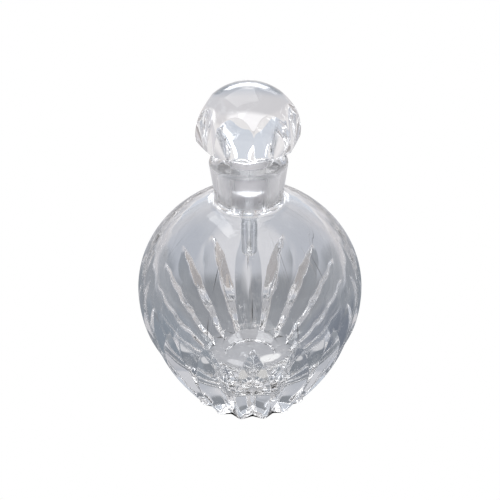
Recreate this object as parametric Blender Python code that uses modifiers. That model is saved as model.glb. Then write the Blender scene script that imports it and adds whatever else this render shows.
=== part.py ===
"""A cut crystal perfume bottle with a ground glass stopper and a dauber rod.

The frame: +Z is up, the origin is the centre of the base, and every size is in metres.
The bottle is one blown and cut piece of glass: a round body with a ring of mitre-cut leaves that
run from the belly to the foot, a thick floor, and a neck with a ground socket. The stopper is a
fluted ball on a ground plug. The dauber is a short drawn rod, cemented into the plug's end.
"""

import math

import bmesh
import bpy
from mathutils import Matrix, Vector

MM = 0.001
SEGMENTS = 64  # sides of every turned surface, four for each leaf
MERGE = 0.00001

# The bottle's outside.
FOOT_RADIUS = 22.3 * MM
FOOT_BEVEL = 0.5 * MM
FOOT_LAND = 1.6 * MM  # height of the upright band under the leaves
BELLY_RADIUS = 40.0 * MM
BELLY_HEIGHT = 44.0 * MM
SHOULDER_RISE = 36.0 * MM  # from the belly up to the neck's root
NECK_ROOT_RADIUS = 11.7 * MM
NECK_RADIUS = 13.5 * MM
NECK_LENGTH = 16.5 * MM
RIM_ROUND = 1.6 * MM
NECK_FILLET = 1.8 * MM
DISH_RADIUS = 11.0 * MM  # the polished hollow under the foot
DISH_DEPTH = 1.0 * MM
SHOULDER_HEIGHT = BELLY_HEIGHT + SHOULDER_RISE
RIM_HEIGHT = SHOULDER_HEIGHT + NECK_LENGTH

# The bottle's inside.
FLOOR_THICKNESS = 12.0 * MM
FLOOR_RADIUS = 10.5 * MM
BELLY_WALL = 5.4 * MM
SHOULDER_WALL = 3.8 * MM
SOCKET_LENGTH = 13.7 * MM  # the ground part of the neck
SOCKET_RADIUS = 5.9 * MM  # at its lower end
SOCKET_TAPER = 0.05  # radius gained for each unit of height
MOUTH_FLARE = 1.8 * MM
SOCKET_TOP_HEIGHT = RIM_HEIGHT - MOUTH_FLARE
SOCKET_FOOT_HEIGHT = SOCKET_TOP_HEIGHT - SOCKET_LENGTH

# The leaves: V grooves cut by a mitre wheel along a slightly bowed line.
LEAF_COUNT = 16
LEAF_TIP_RISE = 1.5 * MM  # how far the tips pass the widest part of the belly
LEAF_DEPTH = 4.3 * MM  # halfway down a leaf
LEAF_FOOT_DEPTH = 3.4 * MM  # where a leaf runs out of the foot
LEAF_HALF_ANGLE = math.radians(58)
LEAF_CUTTER_HEIGHT = 9.0 * MM
LEAF_STEPS = 10

# The stopper.
SEAT_GAP = 0.3 * MM  # between the ground plug and its socket
PLUG_OVERHANG = 2.6 * MM  # how far the plug passes the socket's lower end
PLUG_CHAMFER = 0.6 * MM
PLUG_STANDOFF = 1.1 * MM  # how far the plug's straight side rises over the rim
HEAD_STANDOFF = 7.9 * MM  # from the rim up to the ball's lower edge
GIRDLE_RADIUS = 18.0 * MM
GIRDLE_RISE = 2.8 * MM  # from the lower edge up to the widest part
GIRDLE_LIP = 0.4 * MM
HEAD_RISE = 19.5 * MM  # from the lower edge up to the top
STOPPER_TURN = math.radians(5)  # how far the stopper is turned in the neck
PLUG_END_HEIGHT = SOCKET_FOOT_HEIGHT - PLUG_OVERHANG
PLUG_TOP_HEIGHT = RIM_HEIGHT + PLUG_STANDOFF
HEAD_BOTTOM_HEIGHT = RIM_HEIGHT + HEAD_STANDOFF
HEAD_TOP_HEIGHT = HEAD_BOTTOM_HEIGHT + HEAD_RISE

# The stopper's flutes: hollow panels that follow the ball.
FLUTE_COUNT = 8
FLUTE_HOLLOW = 90.0 * MM  # radius of the hollow across a flute
FLUTE_LENGTH_RADIUS = 26.0 * MM  # radius of the deepest line down a flute
FLUTE_DEPTH = 1.7 * MM
FLUTE_RISE = 1.0 * MM  # from the ball's lower edge up to where a flute is widest
FLUTE_CUTTER_HALF_WIDTH = 9.0 * MM
FLUTE_CUTTER_HEIGHT = 14.0 * MM
FLUTE_STEPS = 9

# The dauber.
DAUBER_RADIUS = 2.8 * MM
DAUBER_REACH = 21.7 * MM  # from the plug's end down to the tip
DAUBER_SOCKET_DEPTH = 8.0 * MM
DAUBER_GAP = 0.3 * MM


def clear_scene():
    for obj in list(bpy.data.objects):
        bpy.data.objects.remove(obj)


def new_collection(name):
    collection = bpy.data.collections.new(name)
    bpy.context.scene.collection.children.link(collection)
    return collection


def glass(name, colour, roughness):
    """Clear lead crystal, or the same glass with a ground surface where it is rough."""
    material = bpy.data.materials.new(name)
    material.use_nodes = True
    shader = material.node_tree.nodes["Principled BSDF"]
    shader.inputs["Base Color"].default_value = (*colour, 1)
    shader.inputs["Roughness"].default_value = roughness
    shader.inputs["Metallic"].default_value = 0.0
    shader.inputs["Transmission Weight"].default_value = 1.0
    shader.inputs["IOR"].default_value = 1.54
    return material


def bezier(start, start_handle, end_handle, end, count):
    """Points (radius, height) along a cubic curve, without its first point."""
    points = []
    for i in range(1, count + 1):
        t = i / count
        weights = ((1 - t) ** 3, 3 * t * (1 - t) ** 2, 3 * t * t * (1 - t), t**3)
        pair = (start, start_handle, end_handle, end)
        points.append(tuple(sum(w * p[k] for w, p in zip(weights, pair)) for k in range(2)))
    return points


def arc(centre, radius, start_degrees, end_degrees, count):
    """Points along a circular arc, both ends included. 0 degrees is outwards and 90 is up."""
    points = []
    for i in range(count + 1):
        angle = math.radians(start_degrees + (end_degrees - start_degrees) * i / count)
        points.append((centre[0] + radius * math.cos(angle), centre[1] + radius * math.sin(angle)))
    return points


def turned(name, profile, collection, material):
    """A solid of revolution from a chain of (radius, height), outer side running downwards."""
    mesh = bpy.data.meshes.new(name)
    edges = [(i, i + 1) for i in range(len(profile) - 1)]
    mesh.from_pydata([(radius, 0, height) for radius, height in profile], edges, [])
    mesh.materials.append(material)
    obj = bpy.data.objects.new(name, mesh)
    collection.objects.link(obj)
    screw = obj.modifiers.new("turn", "SCREW")
    screw.axis = "Z"
    screw.steps = screw.render_steps = SEGMENTS
    screw.use_merge_vertices = True
    screw.merge_threshold = MERGE
    screw.use_smooth_shade = True
    return obj


def swept_cutter(name, section, centre, radius, start, end, steps, turn, collection):
    """A cutter whose section is carried along an arc in an upright plane through the axis.

    The section's points are (outward, sideways) from a point on the arc. The arc has its centre
    at (distance from the axis, height), and start and end are its angles above the horizontal.
    turn is the plane's angle round the axis.
    """
    pivot = Vector((centre[0], 0, centre[1]))
    shape = bmesh.new()
    loop = [shape.verts.new((centre[0] + radius + out, side, centre[1])) for out, side in section]
    for i, corner in enumerate(loop):
        shape.edges.new((corner, loop[(i + 1) % len(loop)]))
    bmesh.ops.rotate(
        shape, verts=shape.verts, cent=pivot, matrix=Matrix.Rotation(-start, 3, "Y")
    )
    bmesh.ops.spin(
        shape,
        geom=[*shape.verts, *shape.edges],
        cent=pivot,
        axis=(0, -1, 0),
        angle=end - start,
        steps=steps,
    )
    bmesh.ops.holes_fill(shape, edges=[edge for edge in shape.edges if edge.is_boundary])
    bmesh.ops.recalc_face_normals(shape, faces=shape.faces)
    bmesh.ops.rotate(shape, verts=shape.verts, matrix=Matrix.Rotation(turn, 3, "Z"))
    mesh = bpy.data.meshes.new(name)
    shape.to_mesh(mesh)
    shape.free()
    obj = bpy.data.objects.new(name, mesh)
    obj.hide_render = True
    obj.display_type = "WIRE"
    collection.objects.link(obj)


def cut(obj, cutters):
    boolean = obj.modifiers.new("cuts", "BOOLEAN")
    boolean.operation = "DIFFERENCE"
    boolean.solver = "EXACT"
    boolean.operand_type = "COLLECTION"
    boolean.collection = cutters


def flank_curve(count):
    """The body's outline from the widest part of the belly down to the foot's upright band."""
    return bezier(
        (BELLY_RADIUS, BELLY_HEIGHT),
        (BELLY_RADIUS, BELLY_HEIGHT - 18.0 * MM),
        (FOOT_RADIUS + 6.4 * MM, FOOT_LAND + 8.6 * MM),
        (FOOT_RADIUS, FOOT_LAND),
        count,
    )


def body_curve():
    """The body's outline from the neck's root down to the top of the foot's upright band."""
    shoulder = bezier(
        (NECK_ROOT_RADIUS + NECK_FILLET, SHOULDER_HEIGHT),
        (NECK_ROOT_RADIUS + 14.2 * MM, SHOULDER_HEIGHT - 4.8 * MM),
        (BELLY_RADIUS, BELLY_HEIGHT + 18.0 * MM),
        (BELLY_RADIUS, BELLY_HEIGHT),
        11,
    )
    return shoulder + flank_curve(11)


def cavity_curve():
    """The inside's outline from the floor's centre up to the lower end of the ground socket."""
    belly = (BELLY_RADIUS - BELLY_WALL, BELLY_HEIGHT + 1.5 * MM)
    floor_edge = (FLOOR_RADIUS, FLOOR_THICKNESS)
    corner_end = (FLOOR_RADIUS + 1.1 * MM, FLOOR_THICKNESS + 0.5 * MM)
    shoulder_end = (NECK_ROOT_RADIUS + 0.6 * MM, SHOULDER_HEIGHT - SHOULDER_WALL + 0.4 * MM)
    socket_foot = (SOCKET_RADIUS, SOCKET_FOOT_HEIGHT)
    corner = bezier(
        floor_edge,
        (floor_edge[0] + 0.5 * MM, floor_edge[1]),
        (corner_end[0] - 0.4 * MM, corner_end[1] - 0.2 * MM),
        corner_end,
        3,
    )
    flank = bezier(
        corner_end,
        (corner_end[0] + 11.0 * MM, corner_end[1] + 3.4 * MM),
        (belly[0], belly[1] - 16.0 * MM),
        belly,
        8,
    )
    shoulder = bezier(
        belly,
        (belly[0], belly[1] + 15.6 * MM),
        (shoulder_end[0] + 11.6 * MM, shoulder_end[1] - 4.6 * MM),
        shoulder_end,
        9,
    )
    turn_up = bezier(
        shoulder_end,
        (shoulder_end[0] - 4.4 * MM, shoulder_end[1] + 1.9 * MM),
        (socket_foot[0], socket_foot[1] - 2.6 * MM),
        socket_foot,
        3,
    )
    return [(0, FLOOR_THICKNESS), floor_edge, *corner, *flank, *shoulder, *turn_up]


def mouth_curve():
    """The socket's upper end, the rounded rim and the neck, down to the shoulder."""
    socket_top = (SOCKET_RADIUS + SOCKET_TAPER * SOCKET_LENGTH, SOCKET_TOP_HEIGHT)
    flare = (socket_top[0] + MOUTH_FLARE, RIM_HEIGHT)
    rim = arc((NECK_RADIUS - RIM_ROUND, RIM_HEIGHT - RIM_ROUND), RIM_ROUND, 90, 0, 4)
    fillet = arc(
        (NECK_ROOT_RADIUS + NECK_FILLET, SHOULDER_HEIGHT + NECK_FILLET), NECK_FILLET, 180, 270, 4
    )
    return [socket_top, flare, *rim, *fillet]


def foot_curve():
    """The upright band, its bevel, the flat ring and the polished hollow, ending on the axis."""
    band = [(FOOT_RADIUS, FOOT_BEVEL), (FOOT_RADIUS - FOOT_BEVEL, 0), (DISH_RADIUS, 0)]
    dish = [
        (DISH_RADIUS * math.cos(angle), DISH_DEPTH * math.sin(angle))
        for angle in (math.pi / 2 * i / 4 for i in range(1, 4))
    ]
    return [*band, *dish, (0, DISH_DEPTH)]


def circle_through(first, second, third):
    """Centre and radius of the circle through three points."""
    chord = second - first
    other = third - first
    cross = 2 * (chord.x * other.y - chord.y * other.x)
    offset = Vector(
        (
            (other.y * chord.length_squared - chord.y * other.length_squared) / cross,
            (chord.x * other.length_squared - other.x * chord.length_squared) / cross,
        )
    )
    return first + offset, offset.length


def leaf_path():
    """The circle that the leaves' roots follow: centre, radius, and the angles of foot and tip."""
    tip = Vector((BELLY_RADIUS, BELLY_HEIGHT + LEAF_TIP_RISE))
    above, middle, below = (Vector(point) for point in flank_curve(4)[:3])
    inward = Vector((below.y - above.y, above.x - below.x)).normalized()
    foot = Vector((FOOT_RADIUS - LEAF_FOOT_DEPTH, 0))
    centre, radius = circle_through(tip, middle + inward * LEAF_DEPTH, foot)
    angles = [math.atan2(end.y - centre.y, end.x - centre.x) for end in (foot, tip)]
    return centre, radius, angles


def make_bottle(collection, cutters, material):
    profile = cavity_curve() + mouth_curve() + body_curve() + foot_curve()
    bottle = turned("bottle", profile, collection, material)
    centre, radius, (foot, tip) = leaf_path()
    run_out = LEAF_CUTTER_HEIGHT / radius
    half_width = LEAF_CUTTER_HEIGHT * math.tan(LEAF_HALF_ANGLE)
    section = [(0, 0), (LEAF_CUTTER_HEIGHT, half_width), (LEAF_CUTTER_HEIGHT, -half_width)]
    for i in range(LEAF_COUNT):
        swept_cutter(
            f"leaf_cutter_{i}",
            section,
            centre,
            radius,
            foot - run_out,
            tip + run_out,
            LEAF_STEPS,
            math.tau * i / LEAF_COUNT - math.pi / 2,
            cutters,
        )
    cut(bottle, cutters)
    return bottle


def plug_radius(height):
    """The ground plug's radius, which follows its socket's taper."""
    return SOCKET_RADIUS - SEAT_GAP + SOCKET_TAPER * (height - SOCKET_FOOT_HEIGHT)


def stopper_profile():
    """The stopper's outline, from the top of the ball down to the dauber's drilled hole."""
    plug_end = plug_radius(PLUG_END_HEIGHT)
    plug_top = plug_radius(PLUG_TOP_HEIGHT)
    hole = DAUBER_RADIUS + DAUBER_GAP
    girdle_height = HEAD_BOTTOM_HEIGHT + GIRDLE_RISE
    ball = bezier(
        (0, HEAD_TOP_HEIGHT),
        (GIRDLE_RADIUS * 0.52, HEAD_TOP_HEIGHT),
        (GIRDLE_RADIUS, girdle_height + 8.4 * MM),
        (GIRDLE_RADIUS, girdle_height),
        14,
    )
    under = bezier(
        (GIRDLE_RADIUS - GIRDLE_LIP, HEAD_BOTTOM_HEIGHT),
        (GIRDLE_RADIUS - 3.4 * MM, HEAD_BOTTOM_HEIGHT - 1.6 * MM),
        (plug_top + 2.0 * MM, PLUG_TOP_HEIGHT + 1.6 * MM),
        (plug_top, PLUG_TOP_HEIGHT),
        6,
    )
    return [
        (0, HEAD_TOP_HEIGHT),
        *ball,
        (GIRDLE_RADIUS - GIRDLE_LIP, HEAD_BOTTOM_HEIGHT),
        *under,
        (plug_end, PLUG_END_HEIGHT + PLUG_CHAMFER),
        (plug_end - PLUG_CHAMFER, PLUG_END_HEIGHT),
        (hole, PLUG_END_HEIGHT),
        (hole, PLUG_END_HEIGHT + DAUBER_SOCKET_DEPTH),
        (0, PLUG_END_HEIGHT + DAUBER_SOCKET_DEPTH),
    ]


def make_stopper(collection, cutters, material):
    stopper = turned("stopper", stopper_profile(), collection, material)
    half = FLUTE_CUTTER_HALF_WIDTH
    sides = [half * i / 4 for i in range(4, -5, -1)]
    hollow = [(FLUTE_HOLLOW - math.sqrt(FLUTE_HOLLOW**2 - side**2), side) for side in sides]
    section = [(FLUTE_CUTTER_HEIGHT, half), *hollow, (FLUTE_CUTTER_HEIGHT, -half)]
    centre = (GIRDLE_RADIUS - FLUTE_DEPTH - FLUTE_LENGTH_RADIUS, HEAD_BOTTOM_HEIGHT + FLUTE_RISE)
    lowest = math.asin((PLUG_TOP_HEIGHT - centre[1]) / FLUTE_LENGTH_RADIUS)
    highest = math.asin((HEAD_TOP_HEIGHT - centre[1]) / FLUTE_LENGTH_RADIUS)
    for i in range(FLUTE_COUNT):
        swept_cutter(
            f"flute_cutter_{i}",
            section,
            centre,
            FLUTE_LENGTH_RADIUS,
            lowest,
            highest,
            FLUTE_STEPS,
            STOPPER_TURN + math.tau * (i + 0.5) / FLUTE_COUNT - math.pi / 2,
            cutters,
        )
    cut(stopper, cutters)
    return stopper


def make_dauber(collection, material):
    """A drawn rod with a fire-rounded tip; its upper end sits in the plug's hole."""
    top = PLUG_END_HEIGHT + DAUBER_SOCKET_DEPTH - DAUBER_GAP
    lowest = PLUG_END_HEIGHT - DAUBER_REACH
    tip = arc((0, lowest + DAUBER_RADIUS), DAUBER_RADIUS, 0, -90, 6)[:-1]
    profile = [(0, top), (DAUBER_RADIUS, top), *tip, (0, lowest)]
    return turned("dauber", profile, collection, material)


def main():
    clear_scene()
    parts = new_collection("perfume_bottle")
    leaf_cutters = new_collection("leaf_cutters")
    flute_cutters = new_collection("flute_cutters")
    crystal = glass("crystal", (0.93, 0.95, 0.96), 0.0)
    stopper_crystal = glass("stopper_crystal", (0.94, 0.95, 0.96), 0.02)
    rod_glass = glass("rod_glass", (0.95, 0.96, 0.96), 0.0)
    make_bottle(parts, leaf_cutters, crystal)
    make_stopper(parts, flute_cutters, stopper_crystal)
    make_dauber(parts, rod_glass)


main()
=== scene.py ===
"""The looks of a cut crystal perfume bottle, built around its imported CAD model.

Each CAD node is replaced by a finer piece of the same size: the bottle with its ring of mitre-cut
leaves, the fluted stopper with its ground plug, and the dauber rod. All three are real glass
bodies, so what the eye sees in them is refraction of their own cuts.
Lengths are in metres, +Z is up, and every piece is turned round the Z axis.
"""

import math

import bmesh
import bpy
import numpy as np
from mathutils import Euler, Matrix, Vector, noise


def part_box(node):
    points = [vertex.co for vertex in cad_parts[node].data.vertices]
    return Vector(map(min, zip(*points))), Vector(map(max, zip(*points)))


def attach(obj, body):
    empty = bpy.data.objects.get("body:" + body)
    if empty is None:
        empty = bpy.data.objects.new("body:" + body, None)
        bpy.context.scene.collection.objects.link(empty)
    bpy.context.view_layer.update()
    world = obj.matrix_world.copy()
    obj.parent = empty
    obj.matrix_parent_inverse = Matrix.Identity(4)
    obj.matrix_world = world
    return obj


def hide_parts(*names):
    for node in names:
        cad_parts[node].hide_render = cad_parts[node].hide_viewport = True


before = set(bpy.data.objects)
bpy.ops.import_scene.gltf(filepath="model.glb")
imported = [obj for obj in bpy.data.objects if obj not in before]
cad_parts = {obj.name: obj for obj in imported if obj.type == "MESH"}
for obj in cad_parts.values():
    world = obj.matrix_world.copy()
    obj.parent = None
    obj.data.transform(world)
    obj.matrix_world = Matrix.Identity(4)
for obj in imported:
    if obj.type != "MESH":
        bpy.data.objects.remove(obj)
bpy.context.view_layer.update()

MM = 0.001

# The camera.
TARGET = Vector((0, 0, 60 * MM))
CAMERA_DISTANCE = 500 * MM
CAMERA_ELEVATION = math.radians(33)
CAMERA_AZIMUTH = math.radians(-1.2)
CAMERA_ROLL = math.radians(-0.6)
LENS_MM = 102
SENSOR_MM = 36
SHIFT = (0.001, -0.0034)

# Overall sizes, read from the CAD model.
(_, bottle_top), (stopper_low, stopper_top), (dauber_low, dauber_top) = (
    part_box(node) for node in ("bottle", "stopper", "dauber")
)
BELLY_RADIUS = bottle_top[0]
RIM_HEIGHT = bottle_top[2]
HEAD_TOP_HEIGHT = stopper_top[2]
PLUG_END_HEIGHT = stopper_low[2]
DAUBER_RADIUS = dauber_top[0]
DAUBER_TIP_HEIGHT = dauber_low[2]
DAUBER_TOP_HEIGHT = dauber_top[2]

# The bottle's outside.
FOOT_RADIUS = 22.3 * MM
FOOT_BEVEL = 0.5 * MM
FOOT_LAND = 1.6 * MM
BELLY_HEIGHT = 44.0 * MM
NECK_ROOT_RADIUS = 11.7 * MM
NECK_RADIUS = 13.5 * MM
NECK_LENGTH = 16.5 * MM
RIM_ROUND = 1.6 * MM
NECK_FILLET = 1.8 * MM
DISH_RADIUS = 11.0 * MM
DISH_DEPTH = 1.0 * MM
SHOULDER_HEIGHT = RIM_HEIGHT - NECK_LENGTH

# Each pair of pulls says how far a curve's two handles stand from its ends, outwards and upwards.
FLANK_PULLS = ((0, -18.0 * MM), (6.4 * MM, 8.6 * MM))
SHOULDER_PULLS = ((12.4 * MM, -4.8 * MM), (0, 18.0 * MM))

# The bottle's inside.
FLOOR_THICKNESS = 12.0 * MM
FLOOR_RADIUS = 10.5 * MM
BELLY_WALL = 5.4 * MM
SHOULDER_WALL = 3.8 * MM
WIDEST_RISE = 1.5 * MM  # from the belly's height up to the cavity's widest part
CORNER_END = (1.1 * MM, 0.5 * MM)  # from the flat floor's edge to where the flank starts
SHOULDER_END = (0.6 * MM, 0.4 * MM)  # from under the neck's root to where the cavity turns up
CORNER_PULLS = ((0.5 * MM, 0), (-0.4 * MM, -0.2 * MM))
INNER_FLANK_PULLS = ((11.0 * MM, 3.4 * MM), (0, -16.0 * MM))
INNER_SHOULDER_PULLS = ((0, 15.6 * MM), (11.6 * MM, -4.6 * MM))
TURN_UP_PULLS = ((-4.4 * MM, 1.9 * MM), (0, -2.6 * MM))
SOCKET_LENGTH = 13.7 * MM
SOCKET_RADIUS = 5.9 * MM
SOCKET_TAPER = 0.05
MOUTH_FLARE = 1.8 * MM
SOCKET_TOP_HEIGHT = RIM_HEIGHT - MOUTH_FLARE
SOCKET_FOOT_HEIGHT = SOCKET_TOP_HEIGHT - SOCKET_LENGTH

# The mitre-cut leaves.
LEAF_COUNT = 16
LEAF_TIP_RISE = 1.5 * MM
LEAF_DEPTH = 4.3 * MM
LEAF_FOOT_DEPTH = 3.4 * MM
LEAF_HALF_ANGLE = math.radians(58)

# The stopper.
SEAT_GAP = 0.3 * MM
PLUG_CHAMFER = 0.6 * MM
PLUG_CLEAR_END = 3.2 * MM  # polished, under the ground part
PLUG_STANDOFF = 1.1 * MM
HEAD_STANDOFF = 7.9 * MM
GIRDLE_RADIUS = 18.0 * MM
GIRDLE_RISE = 2.8 * MM
GIRDLE_LIP = 0.4 * MM
STOPPER_TURN = math.radians(5)
BALL_PULLS = ((0.52 * GIRDLE_RADIUS, 0), (0, 8.4 * MM))
UNDERSIDE_PULLS = ((-3.0 * MM, -1.6 * MM), (2.0 * MM, 1.6 * MM))
PLUG_TOP_HEIGHT = RIM_HEIGHT + PLUG_STANDOFF
HEAD_BOTTOM_HEIGHT = RIM_HEIGHT + HEAD_STANDOFF
FLUTE_COUNT = 8
FLUTE_HOLLOW = 90.0 * MM
FLUTE_LENGTH_RADIUS = 26.0 * MM
FLUTE_DEPTH = 1.7 * MM
FLUTE_RISE = 1.0 * MM
FLUTE_HALF_WIDTH = 0.9 * FLUTE_HOLLOW
DAUBER_SOCKET_DEPTH = 8.0 * MM
DAUBER_GAP = 0.3 * MM

# How finely the pieces are modelled.
CUT_COLUMNS = 7  # across half a cut
PLAIN_COLUMNS = 5  # across half of what is left between two cuts
LEAST_CUT = 0.08  # the part of the half angle that a cut's columns take up, at least and at most
MOST_CUT = 0.94
EDGE_SAMPLES = 400
ROD_SIDES = 4  # sides that the rod's columns are shared out over
CUT_ROUNDS = 12  # in which a cut's distance from the axis settles
EDGE_ROUND = 0.05 * MM
ROOT_ROUND = 0.08 * MM
WANDER = 0.012  # how far, in radians, the hand-cut leaves stray from straight
WANDER_LENGTH = 9 * MM
WANDER_APART = 3.7  # keeps one cut's noise apart from the next one's
FRONT = -math.pi / 2

# The glass.
CRYSTAL_IOR = 1.545
ROD_IOR = 1.52

# The studio, as the glass sees it. Tones are (red, green, blue).
FLOOR_REACH = 3.0
FLOOR_DROP = 0.1 * MM
FLOOR_END = (0.85, 0.83, 0.83)
RINGS = (  # the floor from far to near: fade start and end from the middle, and tone
    (600 * MM, 900 * MM, (0.7, 0.68, 0.69)),
    (280 * MM, 360 * MM, (0.62, 0.61, 0.63)),
    (120 * MM, 180 * MM, (0.47, 0.49, 0.54)),
)
SPOT_EDGE = (0.84, 1.16)  # fade start and end, as parts of a spot's half sizes
SPOTS = (  # the shade and the pools of light round the glass: centre, half sizes and tone
    ((15 * MM, 420 * MM), (110 * MM, 150 * MM), (1.0, 0.98, 0.99)),
    ((0, 8 * MM), (130 * MM, 52 * MM), (0.24, 0.255, 0.28)),
    ((-80 * MM, 50 * MM), (38 * MM, 60 * MM), (0.27, 0.29, 0.32)),
    ((80 * MM, 50 * MM), (38 * MM, 60 * MM), (0.25, 0.27, 0.3)),
    ((-58 * MM, -4 * MM), (34 * MM, 26 * MM), (0.24, 0.27, 0.31)),
    ((58 * MM, -4 * MM), (34 * MM, 26 * MM), (0.18, 0.2, 0.24)),
    ((0, 85 * MM), (25 * MM, 42 * MM), (0.66, 0.66, 0.69)),
    ((0, 0), (20 * MM, 20 * MM), (0.45, 0.45, 0.47)),
    ((0, -38 * MM), (26 * MM, 14 * MM), (0.62, 0.61, 0.6)),
    ((-30 * MM, -26 * MM), (11 * MM, 12 * MM), (0.19, 0.21, 0.24)),
    ((30 * MM, -26 * MM), (11 * MM, 12 * MM), (0.17, 0.19, 0.22)),
    ((-46 * MM, -40 * MM), (9 * MM, 14 * MM), (0.66, 0.66, 0.68)),
    ((46 * MM, -40 * MM), (9 * MM, 14 * MM), (0.62, 0.62, 0.64)),
    ((9 * MM, -3 * MM), (6 * MM, 5 * MM), (1.0, 0.99, 0.98)),
    ((-7 * MM, -8 * MM), (5 * MM, 5 * MM), (0.72, 0.72, 0.75)),
)
CEILING = (0.86, 0.84, 0.84)
WALL_HEIGHT = (0.45, 0.8)  # fade start and end, as the upward part of the direction
WALL = (0.5, 0.51, 0.54)
CARD_EDGE = (0.85, 0.65)  # fade end and start, as the cosine of the angle from a card's middle
CARDS = (  # what stands round the table: direction and tone
    ((0, 1, 0.1), (0.63, 0.67, 0.74)),
    ((-1, 0.2, 0.1), (0.52, 0.54, 0.6)),
    ((1, 0.2, 0.1), (0.68, 0.66, 0.68)),
    ((-0.8, -0.6, 0.1), (0.4, 0.39, 0.39)),
    ((0.8, -0.6, 0.1), (0.52, 0.47, 0.44)),
    ((0, -1, 0.1), (0.36, 0.34, 0.34)),
)
LIGHTS = (  # soft boxes that face the bottle: name, place, size and power
    ("key", (-0.15, 0.5, 1.1), (0.9, 0.9), 4.2),
    ("back", (0, 0.9, 0.45), (0.7, 0.3), 2.6),
)


def curve(start, end, pulls, steps):
    """Points (radius, height) along a cubic curve, without its first point."""
    handles = [(x + dx, y + dy) for (x, y), (dx, dy) in zip((start, end), pulls)]
    corners = [np.array(corner) for corner in (start, *handles, end)]
    t = np.linspace(0, 1, steps + 1)[1:, None]
    weights = ((1 - t) ** 3, 3 * t * (1 - t) ** 2, 3 * t * t * (1 - t), t**3)
    return [tuple(point) for point in sum(w * corner for w, corner in zip(weights, corners))]


def arc(centre, radius, start_degrees, end_degrees, steps):
    """Points along a circular arc, both ends included. 0 degrees is outwards and 90 is up."""
    angles = np.radians(np.linspace(start_degrees, end_degrees, steps + 1))
    return [(centre[0] + radius * math.cos(a), centre[1] + radius * math.sin(a)) for a in angles]


def line(start, end, steps):
    """Points along a straight line, without its first point."""
    return [
        (start[0] + (end[0] - start[0]) * i / steps, start[1] + (end[1] - start[1]) * i / steps)
        for i in range(1, steps + 1)
    ]


def rounded_min(a, b, radius):
    """The lower of two surfaces, with the edge where they meet eased over."""
    return 0.5 * (a + b - np.sqrt((a - b) ** 2 + radius**2))


def circle_through(first, second, third):
    """Centre and radius of the circle through three points."""
    chord = second - first
    other = third - first
    cross = 2 * (chord.x * other.y - chord.y * other.x)
    offset = Vector(
        (
            (other.y * chord.length_squared - chord.y * other.length_squared) / cross,
            (chord.x * other.length_squared - other.x * chord.length_squared) / cross,
        )
    )
    return first + offset, offset.length


def flank_curve(steps):
    """The body's outline from the widest part of the belly down to the foot's upright band."""
    return curve((BELLY_RADIUS, BELLY_HEIGHT), (FOOT_RADIUS, FOOT_LAND), FLANK_PULLS, steps)


def shoulder_curve(steps):
    """The body's outline from the neck's root down to the widest part of the belly."""
    neck_root = (NECK_ROOT_RADIUS + NECK_FILLET, SHOULDER_HEIGHT)
    return curve(neck_root, (BELLY_RADIUS, BELLY_HEIGHT), SHOULDER_PULLS, steps)


def cavity_curve():
    """The inside's outline from the floor's centre up to the lower end of the ground socket."""
    centre = (0, FLOOR_THICKNESS)
    floor_edge = (FLOOR_RADIUS, FLOOR_THICKNESS)
    corner_end = (FLOOR_RADIUS + CORNER_END[0], FLOOR_THICKNESS + CORNER_END[1])
    widest = (BELLY_RADIUS - BELLY_WALL, BELLY_HEIGHT + WIDEST_RISE)
    under_shoulder = SHOULDER_HEIGHT - SHOULDER_WALL
    shoulder_end = (NECK_ROOT_RADIUS + SHOULDER_END[0], under_shoulder + SHOULDER_END[1])
    socket_foot = (SOCKET_RADIUS, SOCKET_FOOT_HEIGHT)
    points = [centre] + line(centre, floor_edge, steps=6)
    points += curve(floor_edge, corner_end, CORNER_PULLS, steps=8)
    points += curve(corner_end, widest, INNER_FLANK_PULLS, steps=28)
    points += curve(widest, shoulder_end, INNER_SHOULDER_PULLS, steps=30)
    points += curve(shoulder_end, socket_foot, TURN_UP_PULLS, steps=10)
    return points


def mouth_curve():
    """The ground socket, the rounded rim and the neck, down to the shoulder."""
    socket_foot = (SOCKET_RADIUS, SOCKET_FOOT_HEIGHT)
    socket_top = (SOCKET_RADIUS + SOCKET_TAPER * SOCKET_LENGTH, SOCKET_TOP_HEIGHT)
    flare = (socket_top[0] + MOUTH_FLARE, RIM_HEIGHT)
    rim = arc((NECK_RADIUS - RIM_ROUND, RIM_HEIGHT - RIM_ROUND), RIM_ROUND, 90, 0, steps=10)
    fillet_centre = (NECK_ROOT_RADIUS + NECK_FILLET, SHOULDER_HEIGHT + NECK_FILLET)
    fillet = arc(fillet_centre, NECK_FILLET, 180, 270, steps=10)
    socket = line(socket_foot, socket_top, steps=16)
    mouth = line(socket_top, flare, steps=6)
    top = line(flare, rim[0], steps=4)
    neck = line(rim[-1], fillet[0], steps=14)
    return socket, mouth + top + rim[1:] + neck + fillet[1:]


def foot_curve():
    """The upright band, its bevel, the flat ring and the polished hollow, ending on the axis."""
    band_top = (FOOT_RADIUS, FOOT_LAND)
    band_foot = (FOOT_RADIUS, FOOT_BEVEL)
    ring_edge = (FOOT_RADIUS - FOOT_BEVEL, 0)
    inner_edge = (DISH_RADIUS, 0)
    dish = [
        (DISH_RADIUS * math.cos(a), DISH_DEPTH * math.sin(a))
        for a in np.linspace(0, math.pi / 2, 13)[1:]
    ]
    band = line(band_top, band_foot, steps=4) + line(band_foot, ring_edge, steps=3)
    return band, line(ring_edge, inner_edge, steps=6) + dish


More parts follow.
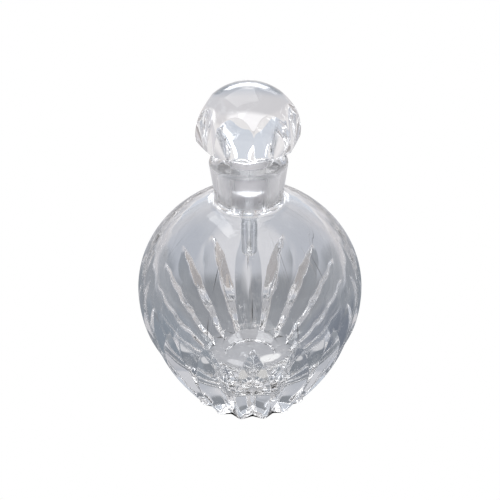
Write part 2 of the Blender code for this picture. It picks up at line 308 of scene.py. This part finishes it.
def leaf_surface():
    """The V groove's radius from the axis, as a function of the angle from its middle and height."""
    tip = Vector((BELLY_RADIUS, BELLY_HEIGHT + LEAF_TIP_RISE))
    above, middle, below = (Vector(point) for point in flank_curve(steps=4)[:3])
    inward = Vector((below.y - above.y, above.x - below.x)).normalized()
    foot = Vector((FOOT_RADIUS - LEAF_FOOT_DEPTH, 0))
    centre, radius = circle_through(tip, middle + inward * LEAF_DEPTH, foot)
    slope = 1 / math.tan(LEAF_HALF_ANGLE)

    def groove(angle, height):
        rise2 = (height - centre.y) ** 2
        outward = np.full_like(angle, BELLY_RADIUS)
        for _ in range(CUT_ROUNDS):
            side = np.sqrt((outward * np.tan(angle)) ** 2 + ROOT_ROUND**2) - ROOT_ROUND
            outward = centre.x + np.sqrt(np.maximum((radius + side * slope) ** 2 - rise2, 0))
        return outward / np.cos(angle)

    return groove


def flute_surface():
    """The hollow flute's radius from the axis, as a function of the angle and height."""
    centre = (GIRDLE_RADIUS - FLUTE_DEPTH - FLUTE_LENGTH_RADIUS, HEAD_BOTTOM_HEIGHT + FLUTE_RISE)

    def flute(angle, height):
        rise2 = (height - centre[1]) ** 2
        outward = np.full_like(angle, GIRDLE_RADIUS - FLUTE_DEPTH)
        for _ in range(CUT_ROUNDS):
            side2 = np.minimum((outward * np.tan(angle)) ** 2, FLUTE_HALF_WIDTH**2)
            reach = FLUTE_LENGTH_RADIUS + FLUTE_HOLLOW - np.sqrt(FLUTE_HOLLOW**2 - side2)
            outward = centre[0] + np.sqrt(np.maximum(reach**2 - rise2, 0))
        return outward / np.cos(angle)

    return flute


def crowded(steps):
    """Values from 0 to 1 that crowd at both ends, where the edges of a cut are."""
    return 0.5 - 0.5 * np.cos(np.linspace(0, math.pi, steps + 1))


def cut_edge(surface, half, radius, height):
    """The angle from a cut's middle at which it runs out of the turned surface."""
    angles = np.linspace(0, half, EDGE_SAMPLES)
    inside = surface(angles, np.full_like(angles, height)) < radius
    if not inside.any():
        return 0.0
    return angles[np.nonzero(inside)[0][-1]]


def column_angles(edge, half):
    """Angles over one whole cut, crowded at its root, its edges and the middle between two cuts."""
    edge = min(max(edge, LEAST_CUT * half), MOST_CUT * half)
    cut = edge * crowded(CUT_COLUMNS)
    plain = edge + (half - edge) * crowded(PLAIN_COLUMNS)[1:]
    right = np.concatenate([cut, plain])
    left = 2 * half - right[1:-1][::-1]
    return np.concatenate([right, left])


def wander(count, height):
    """How far each cut strays sideways at this height."""
    places = [(WANDER_APART * i, height / WANDER_LENGTH, 0) for i in range(count)]
    return [WANDER * noise.noise(place) for place in places]


def ring(radius, height, count, surface, turn, cut):
    """One ring of points of a turned surface with the cuts taken out of it."""
    half = math.pi / count
    edge = cut_edge(surface, half, radius, height) if cut else 0.0
    local = column_angles(edge, half)
    reach = np.full_like(local, radius)
    if cut:
        level = np.full_like(local, height)
        near = surface(np.minimum(local, 2 * half - local), level)
        far = surface(np.maximum(local, 2 * half - local), level)
        reach = rounded_min(rounded_min(near, far, EDGE_ROUND), reach, EDGE_ROUND)
    strays = np.outer(wander(count, height), np.cos(local / 2 * math.pi / half) ** 2)
    angles = (local + strays + 2 * half * np.arange(count)[:, None]).ravel() + turn
    reach = np.tile(reach, count)
    return np.stack([reach * np.cos(angles), reach * np.sin(angles), np.full_like(angles, height)], 1)


def turned_mesh(name, stretches, count, surface, turn):
    """A closed body from stretches of (points, cut or not, material slot), outer side downwards."""
    shape = bmesh.new()
    rings = []
    for points, cut, slot in stretches:
        for radius, height in points:
            if radius == 0:
                rings.append(([shape.verts.new((0, 0, height))], slot))
                continue
            places = ring(radius, height, count, surface, turn, cut)
            rings.append(([shape.verts.new(place) for place in places], slot))
    for (upper, _), (lower, slot) in zip(rings, rings[1:]):
        columns = max(len(upper), len(lower))
        for i in range(columns):
            j = (i + 1) % columns
            corners = [upper[i % len(upper)], lower[i % len(lower)]]
            corners += [lower[j % len(lower)], upper[j % len(upper)]]
            face = shape.faces.new(dict.fromkeys(corners))
            face.material_index = slot
            face.smooth = True
    bmesh.ops.recalc_face_normals(shape, faces=shape.faces)
    mesh = bpy.data.meshes.new(name)
    shape.to_mesh(mesh)
    shape.free()
    obj = bpy.data.objects.new(name, mesh)
    bpy.context.scene.collection.objects.link(obj)
    return obj


def glass(name, colour, roughness, ior):
    """A new material of clear or frosted glass, and its shader."""
    material = bpy.data.materials.new(name)
    material.use_nodes = True
    shader = material.node_tree.nodes["Principled BSDF"]
    shader.inputs["Base Color"].default_value = (*colour, 1)
    shader.inputs["Roughness"].default_value = roughness
    shader.inputs["Transmission Weight"].default_value = 1
    shader.inputs["IOR"].default_value = ior
    return material, shader


def add_bump(material, shader, scale, strength, distance, detail):
    """A fine unevenness of the surface from noise."""
    nodes = material.node_tree.nodes
    links = material.node_tree.links
    place = nodes.new("ShaderNodeTexCoord")
    texture = nodes.new("ShaderNodeTexNoise")
    texture.inputs["Scale"].default_value = scale
    texture.inputs["Detail"].default_value = detail
    bump = nodes.new("ShaderNodeBump")
    bump.inputs["Strength"].default_value = strength
    bump.inputs["Distance"].default_value = distance
    links.new(place.outputs["Object"], texture.inputs["Vector"])
    links.new(texture.outputs["Fac"], bump.inputs["Height"])
    links.new(bump.outputs["Normal"], shader.inputs["Normal"])


def crystal_material():
    """Polished cut crystal, with the slight waviness of a hand-finished surface."""
    material, shader = glass("cut_crystal", (0.985, 0.99, 0.995), roughness=0.0, ior=CRYSTAL_IOR)
    add_bump(material, shader, scale=90, strength=0.06, distance=1 * MM, detail=1)
    return material


def ground_material():
    """The frosted crystal where the plug and the socket were ground to fit."""
    material, shader = glass("ground_crystal", (0.97, 0.97, 0.98), roughness=0.3, ior=CRYSTAL_IOR)
    add_bump(material, shader, scale=2500, strength=0.3, distance=0.2 * MM, detail=3)
    return material


def rod_material():
    """The dauber's drawn glass."""
    material, shader = glass("rod_glass", (0.97, 0.98, 0.985), roughness=0.0, ior=ROD_IOR)
    add_bump(material, shader, scale=60, strength=0.04, distance=1 * MM, detail=0)
    return material


def make_bottle(crystal, ground):
    """The bottle, from the cavity's floor up through the mouth and down its outside."""
    socket, mouth = mouth_curve()
    band, foot = foot_curve()
    stretches = [
        (cavity_curve(), False, 0),
        (socket, False, 1),
        (mouth, False, 0),
        (shoulder_curve(steps=36), False, 0),
        (flank_curve(steps=64), True, 0),
        (band, True, 0),
        (foot, False, 0),
    ]
    bottle = turned_mesh("crystal_bottle", stretches, LEAF_COUNT, leaf_surface(), FRONT)
    bottle.data.materials.append(crystal)
    bottle.data.materials.append(ground)
    return bottle


def plug_radius(height):
    """The ground plug's radius, a seat gap inside the socket."""
    return SOCKET_RADIUS - SEAT_GAP + SOCKET_TAPER * (height - SOCKET_FOOT_HEIGHT)


def head_stretches():
    """The fluted ball from its top down, and its underside in to the top of the plug."""
    top = (0, HEAD_TOP_HEIGHT)
    girdle = (GIRDLE_RADIUS, HEAD_BOTTOM_HEIGHT + GIRDLE_RISE)
    lip = (GIRDLE_RADIUS - GIRDLE_LIP, HEAD_BOTTOM_HEIGHT)
    plug_top = (plug_radius(PLUG_TOP_HEIGHT), PLUG_TOP_HEIGHT)
    return [
        ([top], False, 0),
        (curve(top, girdle, BALL_PULLS, steps=72), True, 0),
        (line(girdle, lip, steps=6), True, 0),
        (curve(lip, plug_top, UNDERSIDE_PULLS, steps=24), True, 0),
    ]


def plug_stretches():
    """The plug from its top down, and the dauber's hole up into it."""
    plug_top = (plug_radius(PLUG_TOP_HEIGHT), PLUG_TOP_HEIGHT)
    ground_top = (plug_radius(SOCKET_TOP_HEIGHT), SOCKET_TOP_HEIGHT)
    ground_end_height = PLUG_END_HEIGHT + PLUG_CLEAR_END
    ground_end = (plug_radius(ground_end_height), ground_end_height)
    end_radius = plug_radius(PLUG_END_HEIGHT)
    chamfer_top = (end_radius, PLUG_END_HEIGHT + PLUG_CHAMFER)
    chamfer_foot = (end_radius - PLUG_CHAMFER, PLUG_END_HEIGHT)
    hole = (DAUBER_RADIUS + DAUBER_GAP, PLUG_END_HEIGHT)
    hole_top = (hole[0], PLUG_END_HEIGHT + DAUBER_SOCKET_DEPTH)
    return [
        (line(plug_top, ground_top, steps=4), False, 0),
        (line(ground_top, ground_end, steps=18), False, 1),
        (line(ground_end, chamfer_top, steps=4), False, 0),
        (line(chamfer_top, chamfer_foot, steps=2), False, 0),
        (line(chamfer_foot, hole, steps=3), False, 0),
        (line(hole, hole_top, steps=8), False, 0),
        (line(hole_top, (0, hole_top[1]), steps=4), False, 0),
    ]


def make_stopper(crystal, ground):
    """The stopper, with a ridge between two flutes at the front before its turn."""
    stretches = head_stretches() + plug_stretches()
    turn = FRONT + STOPPER_TURN + math.pi / FLUTE_COUNT
    stopper = turned_mesh("fluted_stopper", stretches, FLUTE_COUNT, flute_surface(), turn)
    stopper.data.materials.append(crystal)
    stopper.data.materials.append(ground)
    return stopper


def make_dauber(rod_glass):
    """The dauber rod, flat at the top and fire-rounded at the tip."""
    tip = arc((0, DAUBER_TIP_HEIGHT + DAUBER_RADIUS), DAUBER_RADIUS, 0, -90, steps=14)[:-1]
    top = (DAUBER_RADIUS, DAUBER_TOP_HEIGHT)
    points = [(0, DAUBER_TOP_HEIGHT)] + line((0, DAUBER_TOP_HEIGHT), top, steps=4)
    points += line(top, tip[0], steps=24) + tip[1:] + [(0, DAUBER_TIP_HEIGHT)]
    dauber = turned_mesh("dauber_rod", [(points, False, 0)], ROD_SIDES, None, FRONT)
    dauber.data.materials.append(rod_glass)
    return dauber


def make_camera():
    """The camera, above and in front of the bottle and facing its middle."""
    camera = bpy.data.objects.new("camera", bpy.data.cameras.new("camera"))
    bpy.context.scene.collection.objects.link(camera)
    away = Vector((math.sin(CAMERA_AZIMUTH), -math.cos(CAMERA_AZIMUTH), 0)) * math.cos(CAMERA_ELEVATION)
    away.z = math.sin(CAMERA_ELEVATION)
    camera.location = TARGET + away * CAMERA_DISTANCE
    look = (-away).to_track_quat("-Z", "Y")
    camera.rotation_euler = (look.to_matrix() @ Euler((0, 0, CAMERA_ROLL)).to_matrix()).to_euler()
    camera.data.lens = LENS_MM
    camera.data.sensor_width = SENSOR_MM
    camera.data.shift_x, camera.data.shift_y = SHIFT
    camera.data.clip_start = 1 * MM
    bpy.context.scene.camera = camera


def connect(tree, kind, settings, *links):
    """A new node, with each (input, socket) of links joined to it.

    Settings under a name are the node's own, and those under a number are its inputs.
    """
    node = tree.nodes.new(kind)
    for key, value in settings.items():
        if isinstance(key, str):
            setattr(node, key, value)
        else:
            node.inputs[key].default_value = value
    for number, socket in links:
        tree.links.new(socket, node.inputs[number])
    return node


def fade(tree, distance, start, end):
    """1 up to the start distance, easing to 0 at the end distance."""
    settings = {"interpolation_type": "SMOOTHSTEP", 1: start, 2: end, 3: 1.0, 4: 0.0}
    return connect(tree, "ShaderNodeMapRange", settings, (0, distance)).outputs[0]


def blend(tree, amount, under, over):
    """One colour laid over another."""
    mix = connect(tree, "ShaderNodeMix", {"data_type": "RGBA", 7: (*over, 1)}, (0, amount))
    if isinstance(under, tuple):
        mix.inputs[6].default_value = (*under, 1)
    else:
        tree.links.new(under, mix.inputs[6])
    return mix.outputs[2]


def floor_tone(tree):
    """The floor's tone round the bottle, from the far part in to the spots beside it."""
    place = tree.nodes.new("ShaderNodeNewGeometry").outputs["Position"]
    length = connect(tree, "ShaderNodeVectorMath", {"operation": "LENGTH"}, (0, place))
    tone = FLOOR_END
    for start, end, colour in RINGS:
        tone = blend(tree, fade(tree, length.outputs["Value"], start, end), tone, colour)
    for centre, half_sizes, colour in SPOTS:
        away = connect(
            tree, "ShaderNodeVectorMath", {"operation": "SUBTRACT", 1: (*centre, 0)}, (0, place)
        )
        scale = (1 / half_sizes[0], 1 / half_sizes[1], 0)
        settings = {"operation": "MULTIPLY", 1: scale}
        scaled = connect(tree, "ShaderNodeVectorMath", settings, (0, away.outputs[0]))
        reach = connect(tree, "ShaderNodeVectorMath", {"operation": "LENGTH"}, (0, scaled.outputs[0]))
        tone = blend(tree, fade(tree, reach.outputs["Value"], *SPOT_EDGE), tone, colour)
    return tone


def make_floor():
    """A floor that is white to the camera, and toned to what the glass bends and mirrors."""
    mesh = bpy.data.meshes.new("floor")
    shape = bmesh.new()
    bmesh.ops.create_circle(shape, cap_ends=True, segments=64, radius=FLOOR_REACH)
    shape.to_mesh(mesh)
    shape.free()
    floor = bpy.data.objects.new("floor", mesh)
    floor.location.z = -FLOOR_DROP
    bpy.context.scene.collection.objects.link(floor)
    material = bpy.data.materials.new("floor")
    material.use_nodes = True
    tree = material.node_tree
    tree.nodes.clear()
    shown = connect(tree, "ShaderNodeEmission", {0: (1, 1, 1, 1)})
    seen_in_glass = connect(tree, "ShaderNodeEmission", {}, (0, floor_tone(tree)))
    ray = tree.nodes.new("ShaderNodeLightPath")
    links = ((0, ray.outputs["Is Camera Ray"]), (1, seen_in_glass.outputs[0]), (2, shown.outputs[0]))
    mix = connect(tree, "ShaderNodeMixShader", {}, *links)
    connect(tree, "ShaderNodeOutputMaterial", {}, (0, mix.outputs[0]))
    mesh.materials.append(material)


def make_light(name, place, size, power):
    """A soft box that faces the bottle."""
    light = bpy.data.lights.new(name, "AREA")
    light.shape = "RECTANGLE"
    light.size, light.size_y = size
    light.energy = power
    obj = bpy.data.objects.new(name, light)
    obj.location = place
    obj.rotation_euler = (Vector(place) - TARGET).to_track_quat("Z", "Y").to_euler()
    bpy.context.scene.collection.objects.link(obj)


def make_world():
    """The room above the floor: a ceiling over walls, with cards standing in front of them."""
    world = bpy.data.worlds.new("studio")
    world.use_nodes = True
    tree = world.node_tree
    place = tree.nodes.new("ShaderNodeTexCoord").outputs["Generated"]
    split = connect(tree, "ShaderNodeSeparateXYZ", {}, (0, place))
    tone = blend(tree, fade(tree, split.outputs["Z"], *WALL_HEIGHT), CEILING, WALL)
    for direction, colour in CARDS:
        settings = {"operation": "DOT_PRODUCT", 1: Vector(direction).normalized()}
        facing = connect(tree, "ShaderNodeVectorMath", settings, (0, place))
        tone = blend(tree, fade(tree, facing.outputs["Value"], *CARD_EDGE), tone, colour)
    tree.links.new(tone, tree.nodes["Background"].inputs[0])
    bpy.context.scene.world = world


def make_studio():
    """The floor, the room and the lights, and how far light is followed through the glass."""
    make_floor()
    make_world()
    for light in LIGHTS:
        make_light(*light)
    scene = bpy.context.scene
    scene.cycles.max_bounces = 32
    scene.cycles.transmission_bounces = 32
    scene.cycles.glossy_bounces = 16
    scene.cycles.sample_clamp_indirect = 4
    scene.view_settings.view_transform = "Standard"


def place_pieces():
    """Each piece in its place on the CAD node that it replaces."""
    crystal = crystal_material()
    ground = ground_material()
    pieces = (
        (make_bottle(crystal, ground), "bottle", "crystal"),
        (make_stopper(crystal, ground), "stopper", "stopper_crystal"),
        (make_dauber(rod_material()), "dauber", "rod_glass"),
    )
    for piece, node, slot in pieces:
        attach(piece, node)
        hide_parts(node)


make_camera()
place_pieces()
make_studio()
